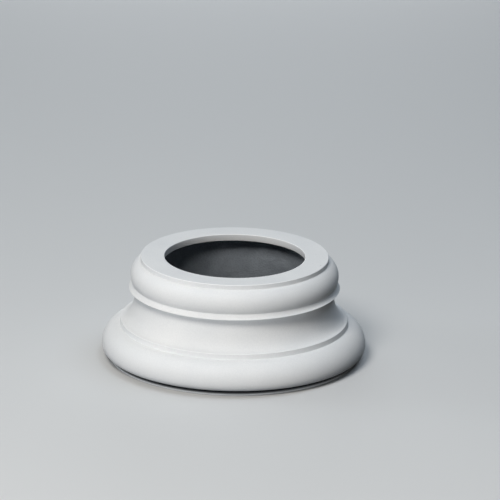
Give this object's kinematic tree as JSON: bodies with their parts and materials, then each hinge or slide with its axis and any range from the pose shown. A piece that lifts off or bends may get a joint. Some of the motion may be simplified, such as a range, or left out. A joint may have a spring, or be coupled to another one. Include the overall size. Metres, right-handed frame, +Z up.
{
  "type": "column base",
  "caption": "Round moulded column base: a hollow ring of stacked torus, fillet and scotia mouldings with a flat seat that carries a column shaft.",
  "frame": {"origin": "centre of the foot, on the surface the base stands on", "axes": "+Z up along the column axis, out of the seat; X and Y are level and alike"},
  "size_m": [0.3232, 0.3232, 0.1273],
  "materials": {
    "primed_foam": "matt white primer on moulded foam"
  },
  "bodies": {
    "root": {"column_base": "primed_foam"}
  },
  "joints": []
}
